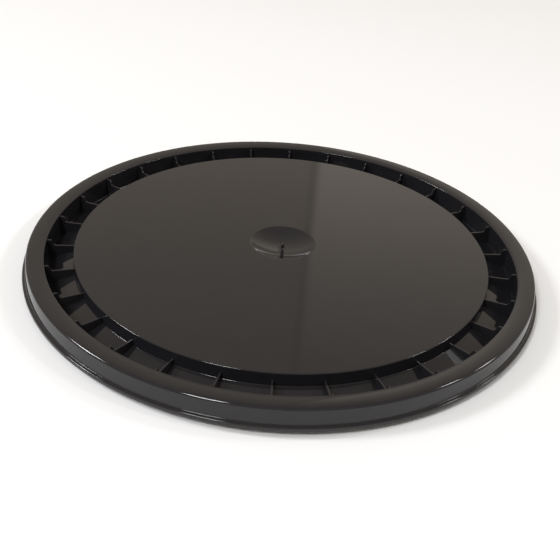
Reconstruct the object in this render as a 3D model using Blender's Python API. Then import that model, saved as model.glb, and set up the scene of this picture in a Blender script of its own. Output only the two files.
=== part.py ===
"""Press-on lid of a 12 inch plastic fermenting bucket: one moulded lid and its rubber sealing ring.

Metres, +Z up. The origin is the middle of the plane that the lid's plug stands on, top side up.
A radius or a height is measured from that origin. Every turned section is a closed outline of
(radius, height) points, counter-clockwise, spun round the Z axis.
"""

import math

import bmesh
import bpy

MM = 0.001

# Overall sizes
LIP_RADIUS = 157.0 * MM
RIM_HEIGHT = 15.6 * MM
WALL = 2.0 * MM

# Raised middle panel, with the dish where the moulding was gated
PANEL_BELOW_RIM = 1.4 * MM
PANEL_EDGE_FILLET = 0.6 * MM
DISH_RADIUS = 20.0 * MM
DISH_DEPTH = 4.2 * MM
GATE_RADIUS = 1.1 * MM
GATE_TOP_RADIUS = 0.9 * MM
GATE_HEIGHT = 4.0 * MM

# Ribbed channel between the panel and the rim. Its floor falls outwards to the plug's foot, so its
# height is given at the outer wall, and the ribs' height above it at the panel's wall.
CHANNEL_WIDTH = 16.8 * MM
CHANNEL_FLOOR_HEIGHT = 1.6 * MM
CHANNEL_FLOOR_SLOPE_DEG = 16.0
CHANNEL_FILLET = 0.6 * MM
RIB_COUNT = 30
RIB_THICKNESS = 1.2 * MM
RIB_TOP_ABOVE_FLOOR = 3.6 * MM
RIB_HEAD_BELOW_RIM = 1.5 * MM
RIB_HEAD_WIDTH = 2.2 * MM
RIB_RISE_WIDTH = 2.0 * MM
RIB_ROOT_OVERLAP = 0.8 * MM

# Rim, skirt and lip. The lip hangs clear of the plane that the plug stands on.
LIP_FOOT_HEIGHT = 3.2 * MM
RIM_WIDTH = 10.4 * MM
RIM_OUTER_FILLET = 2.6 * MM
RIM_INNER_FILLET = 1.2 * MM
RIM_CROWN = 0.5 * MM
SKIRT_LEAN = 1.0 * MM
LIP_OVERHANG = 1.8 * MM
LIP_THICKNESS = 2.4 * MM
LIP_FILLET = 0.6 * MM
LIP_GROOVE_HEIGHT = 0.6 * MM
SNAP_BEAD_ABOVE_LIP_FOOT = 2.5 * MM
SNAP_BEAD_DEPTH = 1.9 * MM
LIP_FOOT_WIDTH = 2.0 * MM

# Sealing ring, pushed up into the rim until it meets the ceiling
RING_THICKNESS = 2.0 * MM
RING_CORNER = 0.4 * MM
RING_FIT_GAP = 0.3 * MM
RING_BEAD_CLEARANCE = 0.5 * MM

FACETS_ROUND = 90

# Radii and heights that follow from the sizes above
skirt_foot_radius = LIP_RADIUS - LIP_OVERHANG
skirt_top_radius = skirt_foot_radius - SKIRT_LEAN
channel_outer = skirt_top_radius - RIM_WIDTH
plug_radius = channel_outer + WALL
panel_radius = channel_outer - CHANNEL_WIDTH
snap_bead_radius = skirt_foot_radius - WALL - SNAP_BEAD_DEPTH
rim_ceiling = RIM_HEIGHT - WALL
panel_height = RIM_HEIGHT - PANEL_BELOW_RIM
panel_underside = panel_height - WALL
lip_top = LIP_FOOT_HEIGHT + LIP_THICKNESS
snap_bead_height = LIP_FOOT_HEIGHT + SNAP_BEAD_ABOVE_LIP_FOOT
floor_slope = math.radians(CHANNEL_FLOOR_SLOPE_DEG)


def floor_height(radius):
    """Height of the channel's sloping floor at a radius."""
    return CHANNEL_FLOOR_HEIGHT + (channel_outer - radius) * math.tan(floor_slope)


def floor_underside(radius):
    """Height of the sloping floor's underside, one wall's thickness below it, at a radius."""
    return floor_height(radius) - WALL / math.cos(floor_slope)


def arc(centre, radius, start_deg, end_deg, steps):
    """Points on an arc in the section, from one angle to another, both ends included."""
    angles = [start_deg + (end_deg - start_deg) * i / steps for i in range(steps + 1)]
    return [
        (
            centre[0] + radius * math.cos(math.radians(angle)),
            centre[1] + radius * math.sin(math.radians(angle)),
        )
        for angle in angles
    ]


def dish_curve(height, depth, radius, steps):
    """A spherical dish sunk in a level face, from its edge to just short of the axis."""
    sphere = (radius**2 + depth**2) / (2 * depth)
    radii = [radius * (1 - i / steps) for i in range(steps)]
    return [(r, height - depth + sphere - math.sqrt(sphere**2 - r**2)) for r in radii]


def gate_outline():
    """The stub left by the gate in the middle of the dish, from its foot up to its top."""
    foot = panel_height - DISH_DEPTH
    return [
        (GATE_RADIUS, foot),
        (GATE_TOP_RADIUS, foot + GATE_HEIGHT),
        (0.0, foot + GATE_HEIGHT),
    ]


def upper_outline():
    """The top face, from the lip's foot inwards over the rim, the channel and the panel."""
    skirt_groove = lip_top + LIP_GROOVE_HEIGHT
    lip_round = LIP_RADIUS - LIP_FILLET
    lip_top_inner = skirt_foot_radius + LIP_FILLET
    rim_crown_radius = (channel_outer + skirt_top_radius) / 2
    panel_edge = panel_radius - PANEL_EDGE_FILLET
    return [
        *arc((lip_round, LIP_FOOT_HEIGHT + LIP_FILLET), LIP_FILLET, -90, 0, 2),
        *arc((lip_round, lip_top - LIP_FILLET), LIP_FILLET, 0, 90, 2),
        (lip_top_inner, lip_top),
        (skirt_foot_radius, skirt_groove),
        *arc(
            (skirt_top_radius - RIM_OUTER_FILLET, RIM_HEIGHT - RIM_OUTER_FILLET),
            RIM_OUTER_FILLET,
            0,
            90,
            4,
        ),
        (rim_crown_radius, RIM_HEIGHT),
        *arc(
            (channel_outer + RIM_INNER_FILLET, RIM_HEIGHT - RIM_CROWN - RIM_INNER_FILLET),
            RIM_INNER_FILLET,
            90,
            180,
            2,
        ),
        (channel_outer, CHANNEL_FLOOR_HEIGHT + CHANNEL_FILLET),
        (channel_outer - CHANNEL_FILLET, floor_height(channel_outer - CHANNEL_FILLET)),
        (panel_radius + CHANNEL_FILLET, floor_height(panel_radius + CHANNEL_FILLET)),
        (panel_radius, floor_height(panel_radius) + CHANNEL_FILLET),
        *arc((panel_edge, panel_height - PANEL_EDGE_FILLET), PANEL_EDGE_FILLET, 0, 90, 2),
        *dish_curve(panel_height, DISH_DEPTH, DISH_RADIUS, 4),
        *gate_outline(),
    ]


def lower_outline():
    """The underside, from the axis outwards under the dish, the plug and the rim to the lip."""
    dish_below = dish_curve(panel_underside, DISH_DEPTH, DISH_RADIUS, 3)
    skirt_inside_foot = skirt_foot_radius - WALL
    skirt_inside_top = skirt_top_radius - WALL
    corner = CHANNEL_FILLET
    bead_half = SNAP_BEAD_DEPTH / 2
    panel_wall_inside = panel_radius - WALL
    foot_start = panel_wall_inside + floor_underside(panel_wall_inside) / math.tan(floor_slope)
    return [
        (0.0, panel_underside - DISH_DEPTH),
        *reversed(dish_below),
        (panel_wall_inside - corner, panel_underside),
        (panel_wall_inside, panel_underside - corner),
        (panel_wall_inside, floor_underside(panel_wall_inside)),
        (foot_start, 0.0),
        (plug_radius - corner, 0.0),
        (plug_radius, corner),
        (plug_radius, rim_ceiling),
        (skirt_inside_top - corner, rim_ceiling),
        (skirt_inside_top, rim_ceiling - corner),
        (skirt_inside_foot, snap_bead_height + 2 * bead_half),
        (snap_bead_radius, snap_bead_height + bead_half / 2),
        (snap_bead_radius, snap_bead_height - bead_half / 2),
        (LIP_RADIUS - LIP_FILLET - LIP_FOOT_WIDTH, LIP_FOOT_HEIGHT),
    ]


def ring_outline():
    """The sealing ring's section, a flat strip with eased corners."""
    inner = plug_radius + RING_FIT_GAP
    outer = snap_bead_radius - RING_BEAD_CLEARANCE
    top = rim_ceiling - RING_FIT_GAP
    bottom = top - RING_THICKNESS
    corner = RING_CORNER
    return [
        (inner + corner, bottom),
        (outer - corner, bottom),
        (outer, bottom + corner),
        (outer, top - corner),
        (outer - corner, top),
        (inner + corner, top),
        (inner, top - corner),
        (inner, bottom + corner),
    ]


def rib_outline():
    """One rib seen from the side: level over the channel, then up to a head under the rim."""
    low = floor_height(panel_radius) + RIB_TOP_ABOVE_FLOOR
    high = RIM_HEIGHT - RIB_HEAD_BELOW_RIM
    head_start = channel_outer - RIB_HEAD_WIDTH
    rise_start = head_start - RIB_RISE_WIDTH
    inner = panel_radius - RIB_ROOT_OVERLAP
    outer = channel_outer + RIB_ROOT_OVERLAP
    ease = RIB_RISE_WIDTH / 4
    return [
        (inner, floor_height(inner) - RIB_ROOT_OVERLAP),
        (outer, floor_height(outer) - RIB_ROOT_OVERLAP),
        (outer, high),
        (head_start, high),
        (head_start - ease, high - ease),
        (rise_start + ease, low + ease),
        (rise_start, low),
        (inner, low),
    ]


def material(name, colour, roughness, metallic=0.0):
    finish = bpy.data.materials.new(name)
    finish.use_nodes = True
    shader = finish.node_tree.nodes["Principled BSDF"]
    shader.inputs["Base Color"].default_value = (*colour, 1.0)
    shader.inputs["Roughness"].default_value = roughness
    shader.inputs["Metallic"].default_value = metallic
    return finish


def object_from(shape, name, finish):
    """A named object that takes over a bmesh, smooth-shaded between its sharp edges."""
    bmesh.ops.recalc_face_normals(shape, faces=shape.faces)
    mesh = bpy.data.meshes.new(name)
    shape.to_mesh(mesh)
    shape.free()
    mesh.shade_smooth()
    mesh.set_sharp_from_angle(angle=math.radians(30))
    mesh.materials.append(finish)
    made = bpy.data.objects.new(name, mesh)
    bpy.context.scene.collection.objects.link(made)
    return made


def turned(outline):
    """A closed section spun all the way round."""
    shape = bmesh.new()
    start = [shape.verts.new((r, 0, z)) for r, z in outline]
    loop = start + start[:1]
    edges = [
        shape.edges.new((a, b))
        for a, b in zip(loop, loop[1:])
        if a.co.to_2d().length > 0 or b.co.to_2d().length > 0
    ]
    bmesh.ops.spin(
        shape,
        geom=start + edges,
        cent=(0, 0, 0),
        axis=(0, 0, 1),
        angle=2 * math.pi,
        steps=FACETS_ROUND,
        use_merge=True,
        use_duplicate=False,
    )
    bmesh.ops.remove_doubles(shape, verts=shape.verts, dist=1e-6)
    return shape


def add_rib(shape, turn):
    """One rib's slab, standing along the radius at an angle round the lid."""
    radial = (math.cos(turn), math.sin(turn))
    across = (-math.sin(turn), math.cos(turn))
    half = RIB_THICKNESS / 2
    sides = [
        [
            shape.verts.new(
                (r * radial[0] + side * across[0], r * radial[1] + side * across[1], z)
            )
            for r, z in rib_outline()
        ]
        for side in (-half, half)
    ]
    left, right = sides
    shape.faces.new(left)
    shape.faces.new(reversed(right))
    count = len(left)
    for i in range(count):
        j = (i + 1) % count
        shape.faces.new((left[j], left[i], right[i], right[j]))


def all_ribs():
    """Every rib of the channel, the first one at the front."""
    shape = bmesh.new()
    for i in range(RIB_COUNT):
        add_rib(shape, 2 * math.pi * i / RIB_COUNT - math.pi / 2)
    return shape


def build_lid():
    plastic = material("black_polyethylene", (0.012, 0.011, 0.010), 0.22)
    lid = object_from(turned(upper_outline() + lower_outline()), "lid", plastic)
    ribs = object_from(all_ribs(), "channel_ribs_joined_to_lid", plastic)
    ribs.hide_render = True
    ribs.display_type = "WIRE"
    join = lid.modifiers.new("ribs", "BOOLEAN")
    join.operation = "UNION"
    join.solver = "EXACT"
    join.object = ribs
    return lid


def build_sealing_ring():
    rubber = material("black_rubber", (0.020, 0.020, 0.020), 0.75)
    return object_from(turned(ring_outline()), "sealing_ring", rubber)


for old in list(bpy.data.objects):
    bpy.data.objects.remove(old, do_unlink=True)

build_lid()
build_sealing_ring()
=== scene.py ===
# %% [markdown]
# # The lid of a plastic fermenting bucket
# This lesson dresses a black press-on bucket lid. The engineering model gives its size and its
# moving body, and every visible surface is modelled here again with finer curves.
# The lid is one injection moulding, so it is one mesh, turned round its axis like a plate.
# A rubber ring sits in the hollow rim and seals on the bucket.

# %% Load the engineering model
import math

import bmesh
import bpy
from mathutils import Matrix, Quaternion, Vector


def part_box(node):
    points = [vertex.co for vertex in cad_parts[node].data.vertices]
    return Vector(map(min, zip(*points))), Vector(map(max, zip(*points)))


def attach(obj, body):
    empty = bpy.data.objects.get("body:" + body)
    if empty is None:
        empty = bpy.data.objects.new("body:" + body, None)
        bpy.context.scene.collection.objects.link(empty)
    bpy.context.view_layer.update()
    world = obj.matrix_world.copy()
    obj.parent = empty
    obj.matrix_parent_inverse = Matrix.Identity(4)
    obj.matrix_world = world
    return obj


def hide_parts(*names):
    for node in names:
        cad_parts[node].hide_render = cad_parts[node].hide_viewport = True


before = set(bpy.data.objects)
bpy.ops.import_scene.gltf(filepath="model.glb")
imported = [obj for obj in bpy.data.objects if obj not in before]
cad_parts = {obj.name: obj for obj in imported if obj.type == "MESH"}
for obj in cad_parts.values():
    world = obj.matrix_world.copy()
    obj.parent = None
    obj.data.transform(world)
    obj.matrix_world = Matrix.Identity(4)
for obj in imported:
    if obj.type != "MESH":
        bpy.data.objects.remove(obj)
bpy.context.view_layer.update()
_, lid_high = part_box("lid")
ring_low, ring_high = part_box("sealing_ring")

# %% [markdown]
# ## Sizes
# The outer radius, the height and the ring's place are read from the engineering model. The
# widths and heights between them are named here once, in millimetres turned into metres.

# %% Name the sizes
MM = 0.001
WALL = 2.0 * MM
LIP_OVERHANG = 1.8 * MM
LIP_THICKNESS = 2.4 * MM
SKIRT_LEAN = 1.0 * MM
SKIRT_DEPTH = 12.4 * MM
RIM_WIDTH = 10.4 * MM
CHANNEL_WIDTH = 16.8 * MM
PANEL_BELOW_RIM = 1.4 * MM
FLOOR_LOWEST = 1.6 * MM
FLOOR_SLOPE = math.radians(16)

lip_radius = lid_high.x
rim_height = lid_high.z
skirt_foot = lip_radius - LIP_OVERHANG
skirt_top = skirt_foot - SKIRT_LEAN
channel_outer = skirt_top - RIM_WIDTH
panel_radius = channel_outer - CHANNEL_WIDTH
plug_radius = channel_outer + WALL
rim_ceiling = rim_height - WALL
panel_height = rim_height - PANEL_BELOW_RIM
lip_foot = rim_height - SKIRT_DEPTH
lip_top = lip_foot + LIP_THICKNESS


def floor_height(radius):
    """Height of the channel's floor, which falls from the panel's wall out to the plug."""
    return FLOOR_LOWEST + (channel_outer - radius) * math.tan(FLOOR_SLOPE)


print(f"panel {panel_radius / MM:.1f} mm in radius, {panel_height / MM:.1f} mm high")

# %% [markdown]
# ## Working in edit mode
# Every shape starts as a primitive and is shaped in edit mode. An operator acts on whatever is
# selected, so the helpers below clear the selection first and then pick vertices, edges or faces
# by where they are.

# %% Helpers for selecting and editing
def deselect_all():
    bpy.ops.object.select_all(action="DESELECT")


def make_active(piece):
    """Selects one object, and nothing else, for the next operator."""
    deselect_all()
    piece.select_set(True)
    bpy.context.view_layer.objects.active = piece


def close_edit():
    bpy.ops.object.mode_set(mode="OBJECT")


def pick(piece, kind, test):
    """Selects the vertices, edges or faces that pass a test, and returns how many there are."""
    mode = {"verts": "VERT", "edges": "EDGE", "faces": "FACE"}[kind]
    bpy.ops.mesh.select_mode(type=mode)
    bpy.ops.mesh.select_all(action="DESELECT")
    shape = bmesh.from_edit_mesh(piece.data)
    chosen = [part for part in getattr(shape, kind) if test(part)]
    for part in chosen:
        part.select_set(True)
    bmesh.update_edit_mesh(piece.data)
    return len(chosen)


# %% [markdown]
# ## Drawing a section
# A turned shape is drawn as half of its section, a chain of points at their distance from the
# axis and their height. By hand that is one vertex extruded again and again. A small plane is
# merged to a single vertex to start from, in vertex mode, because a lone vertex can't be selected
# in edge mode and the outline would stay empty. Each corner is then rounded with a vertex bevel,
# whose offset is worked out from the fillet's radius and the corner's angle.

# %% Start an outline
SAME_PLACE = MM / 100
FILLET_SEGMENTS = 6


def start_vertex(name, place):
    """A new object in edit mode that holds one selected vertex."""
    deselect_all()
    bpy.ops.mesh.primitive_plane_add(size=MM)
    outline = bpy.context.object
    outline.name = name
    bpy.ops.object.mode_set(mode="EDIT")
    bpy.ops.mesh.select_mode(type="VERT")
    bpy.ops.mesh.select_all(action="SELECT")
    bpy.ops.mesh.merge(type="CENTER")
    bpy.ops.transform.translate(value=place)
    return outline


def fillet_offset(before, corner, after, radius):
    """How far along both edges a fillet of this radius starts."""
    angle = (before - corner).angle(after - corner)
    return radius / math.tan(angle / 2)


# %% Draw and round an outline
def pick_places(outline, wanted):
    """Selects the vertices that lie at the wanted places."""
    pick(outline, "verts", lambda v: any((v.co - place).length < SAME_PLACE for place in wanted))


def draw_outline(name, corners, closed):
    """Draws corners of (radius, height, fillet) in the XZ plane and rounds them."""
    places = [Vector((radius, 0, height)) for radius, height, _ in corners]
    outline = start_vertex(name, places[0])
    for before, after in zip(places, places[1:]):
        bpy.ops.mesh.extrude_region_move(TRANSFORM_OT_translate={"value": after - before})
    if closed:
        pick_places(outline, [places[0], places[-1]])
        bpy.ops.mesh.edge_face_add()
    count = len(places)
    for i, (_, _, fillet) in enumerate(corners):
        if fillet == 0:
            continue
        before, place, after = places[i - 1], places[i], places[(i + 1) % count]
        pick_places(outline, [place])
        bpy.ops.mesh.bevel(
            offset=fillet_offset(before, place, after, fillet),
            segments=FILLET_SEGMENTS,
            affect="VERTICES",
        )
    return outline


# %% Turn a section
TURN_STEPS = 360
WELD_DISTANCE = MM / 500


def spin_round(outline):
    """Turns the drawn section all the way round the axis and closes its seam and poles."""
    bpy.ops.mesh.select_all(action="SELECT")
    bpy.ops.mesh.spin(steps=TURN_STEPS, angle=math.tau, center=(0, 0, 0), axis=(0, 0, 1))
    bpy.ops.mesh.select_all(action="SELECT")
    bpy.ops.mesh.remove_doubles(threshold=WELD_DISTANCE)
    bpy.ops.mesh.normals_make_consistent(inside=False)
    close_edit()
    print(f"{outline.name}: {len(outline.data.polygons)} faces")


# %% [markdown]
# ## The moulded lid's section
# The middle panel looks flat, but a moulding this thin is never quite level, so it crowns by
# a millimetre and a half. In its middle is the dish where the plastic was injected, with the
# short stub that was left when the lid broke off its runner. The dish and the crown are circular
# arcs, so their points come from one formula.

# %% Shape of the panel and its dish
DISH_RADIUS = 20.0 * MM
DISH_DEPTH = 4.2 * MM
DISH_EDGE_FILLET = 2.0 * MM
PANEL_CROWN = 1.4 * MM
DISH_STEP = 1.0 * MM
PANEL_STEP = 10.0 * MM


def bowl(radius, depth):
    """Height above the lowest point of a bowl, as a function of the distance from its axis."""
    sphere = (radius**2 + depth**2) / (2 * depth)
    return lambda r: sphere - math.sqrt(sphere**2 - r**2)


dish_rise = bowl(DISH_RADIUS, DISH_DEPTH)
crown_fall = bowl(panel_radius, PANEL_CROWN)
panel_middle = panel_height + PANEL_CROWN


def panel_top(radius):
    return panel_middle - crown_fall(radius)


dish_floor = panel_top(DISH_RADIUS) - DISH_DEPTH
dish_top = [
    (radius, dish_floor + dish_rise(radius), 0)
    for radius in (step * DISH_STEP for step in range(3, 19))
]
crown_top = [
    (radius, panel_top(radius), 0)
    for radius in (step * PANEL_STEP for step in range(3, 13))
]
print(f"dish floor at {dish_floor / MM:.2f} mm")

# %% [markdown]
# ## From the gate to the lip
# The top of the section runs outwards: stub, dish, panel, down into the channel, up over the rim
# and down the skirt to the lip. The rim's crest is near its outer edge, and from there it falls
# inwards. The channel's walls lean a little, because a moulding needs draft to leave its mould.

# %% Curve of the rim
RIM_CREST_INSET = 3.2 * MM
RIM_FALL = 0.95 * MM
RIM_STEP = 1.0 * MM

rim_crest = skirt_top - RIM_CREST_INSET
rim_fall = bowl(rim_crest - channel_outer, RIM_FALL)


def rim_surface(radius):
    """Height of the rim, an arc that falls inwards from a crest near its outer edge."""
    return rim_height - rim_fall(radius - rim_crest)


rim_arc = [
    (radius, rim_surface(radius), 0)
    for radius in (channel_outer + step * RIM_STEP for step in range(1, 9))
]
print(f"rim's inner edge is {(rim_height - rim_surface(channel_outer)) / MM:.2f} mm below its crest")

# %% Top of the section
DRAFT = 0.15 * MM
GATE_RADIUS = 1.1 * MM
GATE_HEIGHT = 3.4 * MM
LIP_SHOULDER = 0.6 * MM

gate_top = [
    (0.0, dish_floor + GATE_HEIGHT, 0),
    (GATE_RADIUS * 0.75, dish_floor + GATE_HEIGHT, 0.35 * MM),
    (GATE_RADIUS, dish_floor + dish_rise(GATE_RADIUS), 0.5 * MM),
]
channel_top = [
    (panel_radius - DRAFT, panel_height, 0.6 * MM),
    (panel_radius + DRAFT, floor_height(panel_radius), 0.5 * MM),
    (channel_outer - DRAFT, floor_height(channel_outer), 0.8 * MM),
    (channel_outer, rim_surface(channel_outer), 0.4 * MM),
]
skirt_outside = [
    (skirt_top, rim_surface(skirt_top), 1.7 * MM),
    (skirt_foot, lip_top + LIP_SHOULDER, 0.5 * MM),
    (lip_radius, lip_top, 0.7 * MM),
    (lip_radius, lip_foot, 0.6 * MM),
]
top_section = (
    gate_top
    + dish_top
    + [(DISH_RADIUS, panel_top(DISH_RADIUS), DISH_EDGE_FILLET)]
    + crown_top
    + channel_top
    + rim_arc
    + skirt_outside
)
print(f"top of the section: {len(top_section)} corners")

# %% [markdown]
# ## Back under the lid
# The underside returns to the axis: the snap bead that catches under the bucket's curled rim, the
# hollow of the rim, the wall that plugs into the bucket's mouth, and the underside of the panel.

# %% Underside of the floor
panel_wall_inside = panel_radius - WALL


def floor_underside(radius):
    """Height of the sloping floor's underside, one wall's thickness below it."""
    return floor_height(radius) - WALL / math.cos(FLOOR_SLOPE)


foot_start = panel_wall_inside + floor_underside(panel_wall_inside) / math.tan(FLOOR_SLOPE)
print(f"the plug's foot starts {foot_start / MM:.1f} mm from the axis")

# %% Underside of the section
LIP_WIDTH = 2.6 * MM
BEAD_DEPTH = 1.9 * MM
BEAD_BOTTOM = 2.0 * MM
BEAD_TOP = 3.0 * MM
BEAD_ROOT = 4.4 * MM
DISH_BELOW_STEP = 2.0 * MM

snap_bead_radius = skirt_foot - WALL - BEAD_DEPTH
rim_inside = [
    (lip_radius - LIP_WIDTH, lip_foot, 0.3 * MM),
    (snap_bead_radius, lip_foot + BEAD_BOTTOM, 0.5 * MM),
    (snap_bead_radius, lip_foot + BEAD_TOP, 0.5 * MM),
    (skirt_foot - WALL, lip_foot + BEAD_ROOT, 0.8 * MM),
    (skirt_top - WALL, rim_ceiling, 0.7 * MM),
    (plug_radius, rim_ceiling, 0.5 * MM),
    (plug_radius - DRAFT, 0.0, 0.7 * MM),
    (foot_start, 0.0, 1.0 * MM),
]
panel_inside = [
    (panel_wall_inside + DRAFT, floor_underside(panel_wall_inside), 0.5 * MM),
    (panel_wall_inside - DRAFT, panel_height - WALL, 1.4 * MM),
]
panel_below = [
    (radius, panel_top(radius) - WALL, 0)
    for radius in (step * PANEL_STEP for step in range(12, 2, -1))
]
dish_below = [
    (radius, dish_floor - WALL + dish_rise(radius), 0)
    for radius in (step * DISH_BELOW_STEP for step in range(9, 0, -1))
]
bottom_section = (
    rim_inside
    + panel_inside
    + panel_below
    + [(DISH_RADIUS, panel_top(DISH_RADIUS) - WALL, DISH_EDGE_FILLET)]
    + dish_below
    + [(0.0, dish_floor - WALL, 0)]
)
print(f"underside of the section: {len(bottom_section)} corners")

# %% Turn the lid
moulded_lid = draw_outline("moulded_lid", top_section + bottom_section, closed=False)
spin_round(moulded_lid)

# %% [markdown]
# ## Thirty ribs
# Thin ribs stiffen the channel. Each one is level over most of the channel and then climbs to a
# head just under the rim. One rib is drawn from the side, filled, given its thickness by an
# extrusion and eased along its upper edges. A spin with copies then sets all thirty round the
# axis, and a union joins them to the lid, because on the real lid they are one piece of plastic.

# %% Draw one rib from the side
RIB_THICKNESS = 1.2 * MM
RIB_LEVEL = floor_height(panel_radius) + 3.6 * MM
RIB_HEAD = rim_height - 1.9 * MM
RIB_HEAD_LENGTH = 2.5 * MM
RIB_CLIMB_START = 4.0 * MM
RIB_ROOT = 0.8 * MM

rib_inner = panel_radius - RIB_ROOT
rib_outer = channel_outer + RIB_ROOT
rib_corners = [
    (rib_inner, floor_height(rib_inner) - RIB_ROOT, 0),
    (rib_outer, floor_height(rib_outer) - RIB_ROOT, 0),
    (rib_outer, RIB_HEAD, 0),
    (channel_outer - RIB_HEAD_LENGTH, RIB_HEAD, 0.8 * MM),
    (channel_outer - RIB_CLIMB_START, RIB_LEVEL, 1.2 * MM),
    (rib_inner, RIB_LEVEL, 0),
]
channel_ribs = draw_outline("channel_ribs", rib_corners, closed=True)
print(f"a rib's level top is {RIB_LEVEL / MM:.2f} mm high and its head {RIB_HEAD / MM:.2f} mm")

# %% Thicken the rib and ease its edges
RIB_EDGE_EASE = 0.25 * MM

bpy.ops.mesh.select_all(action="SELECT")
bpy.ops.mesh.edge_face_add()
bpy.ops.transform.translate(value=(0, -RIB_THICKNESS / 2, 0))
bpy.ops.mesh.extrude_region_move(TRANSFORM_OT_translate={"value": (0, RIB_THICKNESS, 0)})
bpy.ops.mesh.select_all(action="SELECT")
bpy.ops.mesh.normals_make_consistent(inside=False)


def is_upper_edge(edge):
    """True for an edge along one side of the rib's top, from the panel's wall to the head."""
    first, second = (v.co for v in edge.verts)
    on_top = min(first.z, second.z) > RIB_LEVEL - SAME_PLACE
    return on_top and abs(first.y - second.y) < SAME_PLACE


eased = pick(channel_ribs, "edges", is_upper_edge)
bpy.ops.mesh.bevel(offset=RIB_EDGE_EASE, segments=2, affect="EDGES")
print(f"rib: {eased} edges eased")

# %% Copy the rib round the channel
RIB_COUNT = 30
RIB_PITCH = math.tau / RIB_COUNT

bpy.ops.mesh.select_all(action="SELECT")
bpy.ops.transform.rotate(value=RIB_PITCH / 2, orient_axis="Z", center_override=(0, 0, 0))
bpy.ops.mesh.spin(
    steps=RIB_COUNT - 1,
    dupli=True,
    angle=math.tau - RIB_PITCH,
    center=(0, 0, 0),
    axis=(0, 0, 1),
)
close_edit()
print(f"ribs: {len(channel_ribs.data.polygons)} faces")

# %% Join the ribs to the lid
def apply_modifier(piece, kind, **settings):
    """Adds a modifier to a piece and applies it at once."""
    make_active(piece)
    bpy.ops.object.modifier_add(type=kind)
    modifier = piece.modifiers[-1]
    for name, value in settings.items():
        setattr(modifier, name, value)
    bpy.ops.object.modifier_apply(modifier=modifier.name)


apply_modifier(moulded_lid, "BOOLEAN", operation="UNION", solver="EXACT", object=channel_ribs)
bpy.data.objects.remove(channel_ribs)
print(f"lid with ribs: {len(moulded_lid.data.polygons)} faces")

# %% [markdown]
# ## Smooth shading
# Fillets and long walls shade smoothly, and only edges sharper than 35 degrees stay crisp. A
# weighted normal keeps the wide flat faces flat next to their fillets, which a glossy surface
# would otherwise show as a dent.

# %% Shade a piece
SHARP_ANGLE = math.radians(35)


def shade(piece):
    """Shades a piece smoothly and keeps its sharp edges."""
    make_active(piece)
    bpy.ops.object.shade_smooth_by_angle(angle=SHARP_ANGLE)
    apply_modifier(piece, "WEIGHTED_NORMAL", keep_sharp=True)
    sharp = sum(edge.use_edge_sharp for edge in piece.data.edges)
    print(f"{piece.name}: {sharp} sharp edges")


shade(moulded_lid)

# %% [markdown]
# ## The rubber sealing ring
# The ring is a flat strip of rubber with two raised sealing beads on the face that meets the
# bucket. It is drawn as a closed section and turned, like the lid.

# %% Section of the sealing ring
RING_INNER_GAP = 0.3 * MM
RING_FILLET = 0.35 * MM
SEAL_BEAD_RISE = 0.35 * MM
SEAL_BEAD_HALF = 0.6 * MM
SEAL_BEAD_SHARES = (0.28, 0.72)

ring_inner = plug_radius + RING_INNER_GAP
ring_outer = ring_high.x
ring_width = ring_outer - ring_inner
ring_face = ring_low.z + SEAL_BEAD_RISE
bead_corners = []
for share in SEAL_BEAD_SHARES:
    bead_middle = ring_inner + ring_width * share
    bead_corners += [
        (bead_middle - SEAL_BEAD_HALF, ring_face, 0.15 * MM),
        (bead_middle, ring_low.z, 0.4 * MM),
        (bead_middle + SEAL_BEAD_HALF, ring_face, 0.15 * MM),
    ]
ring_corners = [
    (ring_inner, ring_face, RING_FILLET),
    *bead_corners,
    (ring_outer, ring_face, RING_FILLET),
    (ring_outer, ring_high.z, RING_FILLET),
    (ring_inner, ring_high.z, RING_FILLET),
]
print(f"ring: {ring_width / MM:.2f} mm wide")

# %% Turn the ring
rubber_ring = draw_outline("rubber_ring", ring_corners, closed=True)
spin_round(rubber_ring)
shade(rubber_ring)

# %% [markdown]
# ## Writing materials as sums
# A material is a graph of small sums. The class below wraps a socket, so that a sum written in
# Python adds its Math nodes, and one method adds any other node.

# %% A socket that can be added and multiplied
class Value:
    """A shader socket that Python's operators turn into Math nodes."""

    def __init__(self, graph, socket):
        self.graph = graph
        self.socket = socket

    def _math(self, operation, *values):
        return self.graph.node("ShaderNodeMath", {"operation": operation}, *values)

    def __add__(self, other):
        return self._math("ADD", self, other)

    def __sub__(self, other):
        return self._math("SUBTRACT", self, other)

    def __rsub__(self, other):
        return self._math("SUBTRACT", other, self)

    def __mul__(self, other):
        return self._math("MULTIPLY", self, other)

    __radd__ = __add__
    __rmul__ = __mul__


# %% A graph of nodes
class Graph:
    """The nodes of a material or of the world."""

    def __init__(self, tree):
        self.tree = tree

    def feed(self, socket, value):
        """Links a Value into a socket, or sets a plain number or colour on it."""
        if isinstance(value, Value):
            self.tree.links.new(value.socket, socket)
        else:
            socket.default_value = value

    def node(self, kind, settings, *values, output=0, **named):
        """Adds a node, sets it up, feeds its sockets and returns one of its outputs."""
        made = self.tree.nodes.new(kind)
        for name, setting in settings.items():
            setattr(made, name, setting)
        for socket, value in zip(made.inputs, values):
            self.feed(socket, value)
        for name, value in named.items():
            self.feed(made.inputs[name.replace("_", " ")], value)
        return Value(self, made.outputs[output])

    def ramp(self, value, low, high):
        """0 below low, 1 above high, and a straight line between them."""
        return self.node(
            "ShaderNodeMapRange",
            {"clamp": True},
            output="Result",
            Value=value,
            From_Min=low,
            From_Max=high,
        )

    def mix(self, share, first, second):
        """A colour between two colours."""
        made = self.tree.nodes.new("ShaderNodeMix")
        made.data_type = "RGBA"
        self.feed(made.inputs["Factor"], share)
        self.feed(made.inputs["A"], first)
        self.feed(made.inputs["B"], second)
        return Value(self, made.outputs["Result"])


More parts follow.
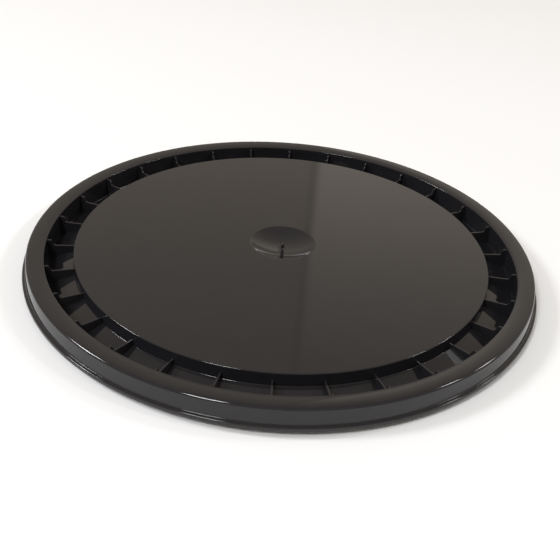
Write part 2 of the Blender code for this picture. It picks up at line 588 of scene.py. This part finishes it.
# %% One material
class Finish(Graph):
    """One material and the nodes that feed its Principled shader."""

    def __init__(self, name):
        self.material = bpy.data.materials.new(name)
        self.material.use_nodes = True
        super().__init__(self.material.node_tree)
        self.shader = self.tree.nodes["Principled BSDF"]
        self.place = self.node("ShaderNodeTexCoord", {}, output="Object")

    def noise(self, scale, detail):
        """A cloudy pattern with about this many clouds to a metre."""
        return self.node(
            "ShaderNodeTexNoise",
            {},
            output="Fac",
            Vector=self.place,
            Scale=scale,
            Detail=detail,
        )

    def bump(self, height):
        """A normal from a height in metres."""
        return self.node(
            "ShaderNodeBump", {}, output="Normal", Strength=1.0, Distance=1.0, Height=height
        )

    def shade(self, **sockets):
        for name, value in sockets.items():
            self.feed(self.shader.inputs[name.replace("_", " ")], value)

    def wrap(self, piece):
        """Gives a piece this material alone."""
        piece.data.materials.clear()
        piece.data.materials.append(self.material)
        print(f"{piece.name}: {self.material.name}, {len(self.tree.nodes)} nodes")


# %% [markdown]
# ## Glossy black polyethylene
# The plastic is close to black and takes all of its look from what it mirrors. It is not a
# perfect mirror: the sheet is faintly wavy over a hand's width, the mould leaves a fine haze, and
# handling leaves smudges. The waves and a very fine grain go into the height of a bump, and the
# haze and the smudges into the roughness.

# %% Plastic finish
WAVE_HEIGHT = 0.12 * MM
GRAIN_HEIGHT = 0.0006 * MM

plastic = Finish("black_polyethylene")
haze = plastic.noise(90.0, detail=3.0)
smudges = plastic.ramp(plastic.noise(14.0, detail=4.0), 0.45, 0.75)
waves = plastic.noise(9.0, detail=1.0) * WAVE_HEIGHT
grain = plastic.noise(700.0, detail=2.0) * GRAIN_HEIGHT
plastic.shade(
    Base_Color=plastic.mix(haze, (0.0125, 0.0120, 0.0145, 1), (0.0155, 0.0150, 0.0180, 1)),
    Roughness=0.035 + haze * 0.02 + smudges * 0.02,
    IOR=1.46,
    Normal=plastic.bump(waves + grain),
)
plastic.wrap(moulded_lid)

# %% [markdown]
# ## Black rubber
# The ring is matt. A pale bloom comes out of the rubber with time and lightens it in patches,
# which are rougher too, and fine pores break up what little light it returns.

# %% Rubber finish
PORE_DEPTH = 0.01 * MM

rubber = Finish("black_rubber")
bloom = rubber.noise(60.0, detail=4.0)
pores = rubber.noise(1500.0, detail=2.0) * PORE_DEPTH
rubber.shade(
    Base_Color=rubber.mix(bloom, (0.016, 0.016, 0.016, 1), (0.030, 0.029, 0.028, 1)),
    Roughness=0.6 + bloom * 0.2,
    IOR=1.5,
    Normal=rubber.bump(pores),
)
rubber.wrap(rubber_ring)

# %% [markdown]
# ## Tie the pieces to the frame
# Each modelled piece rides on the body that carries it and stands for the plain solid of the
# engineering model.

# %% Ride and replace
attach(moulded_lid, "lid_body")
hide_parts("lid")
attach(rubber_ring, "ring_body")
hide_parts("sealing_ring")
print("the lid rides on lid_body and the ring on ring_body")

# %% [markdown]
# ## Studio
# A glossy black object is lit by what it mirrors. The floor is a wide white sheet. The air is a
# warm grey wall with a paler card behind the lid, darker overhead and in front, and white along
# the horizon.
# Four soft boxes at the left and the right draw the bright streaks along the fillets.

# %% Floor
FLOOR_SIZE = 6.0

deselect_all()
bpy.ops.mesh.primitive_plane_add(size=FLOOR_SIZE)
studio_floor = bpy.context.object
studio_floor.name = "studio_floor"
paper = Finish("white_paper")
paper.shade(Base_Color=(0.90, 0.92, 0.96, 1), Roughness=0.9)
paper.wrap(studio_floor)

# %% [markdown]
# ## Air
# The world's colour depends on the direction in which it is seen: on its bearing, measured from
# straight behind the lid towards the right, and on how far it points upward, from 0 at the horizon
# to 1 overhead. Each step below lays one more part of the room over the ones before it.

# %% Directions in the air
scene = bpy.context.scene
scene.world = bpy.data.worlds.new("studio_air")
scene.world.use_nodes = True
air = Graph(scene.world.node_tree)
direction = air.node("ShaderNodeTexCoord", {}, output="Generated")
to_right = air.node("ShaderNodeSeparateXYZ", {}, direction, output="X")
to_back = air.node("ShaderNodeSeparateXYZ", {}, direction, output="Y")
upward = air.node("ShaderNodeSeparateXYZ", {}, direction, output="Z")
bearing = air.node("ShaderNodeMath", {"operation": "ARCTAN2"}, to_right, to_back)
print("bearing and height are ready for the colours of the air")

# %% Wall and card behind the lid
WALL_COLOUR = (0.54, 0.472, 0.385, 1)
SEAM_COLOUR = (0.44, 0.385, 0.32, 1)
CARD_COLOUR = (0.84, 0.745, 0.63, 1)
CARD_EDGE = math.radians(2.4)
CARD_SOFTNESS = math.radians(0.25)
CARD_FADE_START = math.radians(6)
CARD_FADE_END = math.radians(35)
CARD_LEAST = 0.2
SEAM_EDGE = math.radians(1.9)
SEAM_SOFTNESS = math.radians(0.3)

on_card = air.ramp(bearing, CARD_EDGE - CARD_SOFTNESS, CARD_EDGE + CARD_SOFTNESS)
card_fade = air.ramp(bearing, CARD_FADE_END, CARD_FADE_START)
card_rise = air.ramp(upward, 0.68, 0.45)
on_seam = air.ramp(bearing, SEAM_EDGE - SEAM_SOFTNESS, SEAM_EDGE) * (1 - on_card)
wall_colour = air.mix(on_seam, WALL_COLOUR, SEAM_COLOUR)
card_share = on_card * (CARD_LEAST + (1 - CARD_LEAST) * card_fade) * card_rise
behind = air.mix(card_share, wall_colour, CARD_COLOUR)
print(f"the card starts {math.degrees(CARD_EDGE):.1f} degrees to the right")

# %% Low wall, ceiling, front and horizon
LOW_WALL_COLOUR = (0.32, 0.29, 0.24, 1)
CEILING_COLOUR = (0.36, 0.33, 0.27, 1)
FRONT_COLOUR = (0.1, 0.1, 0.1, 1)
HORIZON_COLOUR = (1.0, 1.0, 1.0, 1)

low_wall = air.mix(air.ramp(upward, 0.38, 0.27), behind, LOW_WALL_COLOUR)
ceiling = air.mix(air.ramp(upward, 0.60, 0.90), low_wall, CEILING_COLOUR)
in_front = air.ramp(to_back, -0.2, -0.6) * air.ramp(upward, 0.42, 0.22)
room = air.mix(in_front, ceiling, FRONT_COLOUR)
background = air.mix(air.ramp(upward, 0.14, 0.06), room, HORIZON_COLOUR)
air.feed(air.tree.nodes["Background"].inputs["Color"], background)
print(f"air: {len(air.tree.nodes)} nodes")

# %% [markdown]
# ## Soft boxes
# Each box is placed by its azimuth, from the right turning towards the back, and its elevation.
# They hang where the fillets mirror them to the camera, and the panel and the channel's floor don't.

# %% Hang the soft boxes
BOX_DISTANCE = 2.8


def soft_box(name, azimuth, elevation, size, power):
    """A square area light that faces the lid from an azimuth and an elevation in degrees."""
    turn = math.radians(azimuth)
    rise = math.radians(elevation)
    place = BOX_DISTANCE * Vector(
        (math.cos(rise) * math.cos(turn), math.cos(rise) * math.sin(turn), math.sin(rise))
    )
    deselect_all()
    bpy.ops.object.light_add(type="AREA", location=place)
    box = bpy.context.object
    box.name = name
    box.data.size = size
    box.data.energy = power
    box.rotation_euler = (-place).to_track_quat("-Z", "Y").to_euler()
    print(f"{name}: {power} W, {size} m across")


soft_box("front_left_box", azimuth=-122, elevation=50, size=0.60, power=34)
soft_box("left_box", azimuth=178, elevation=40, size=0.56, power=30)
soft_box("right_box", azimuth=-3, elevation=42, size=0.32, power=9)
soft_box("far_right_box", azimuth=18, elevation=38, size=0.32, power=9)

# %% [markdown]
# ## Camera
# The lens looks down at the lid from the front at 31 degrees, a little over half a metre away,
# tilted slightly to one side as by a hand.

# %% Camera
CAMERA_DISTANCE = 0.532
CAMERA_ELEVATION = math.radians(31.4)
CAMERA_ROLL = math.radians(4.3)
AIM_FORWARD = 0.0243
LENS_MM = 54.3
NEAREST_SEEN = 0.01

lip_middle = Vector((0, 0, lip_foot))
away = Vector((0, -math.cos(CAMERA_ELEVATION), math.sin(CAMERA_ELEVATION)))
place = lip_middle + CAMERA_DISTANCE * away
aim = lip_middle + Vector((0, -AIM_FORWARD, 0))
deselect_all()
bpy.ops.object.camera_add(location=place)
camera = bpy.context.object
level = (aim - place).to_track_quat("-Z", "Y")
camera.rotation_euler = (level @ Quaternion((0, 0, 1), CAMERA_ROLL)).to_euler()
camera.data.lens = LENS_MM
camera.data.clip_start = NEAREST_SEEN
scene.camera = camera
scene.view_settings.view_transform = "Standard"
print(f"camera: {CAMERA_DISTANCE} m away, {LENS_MM} mm lens")
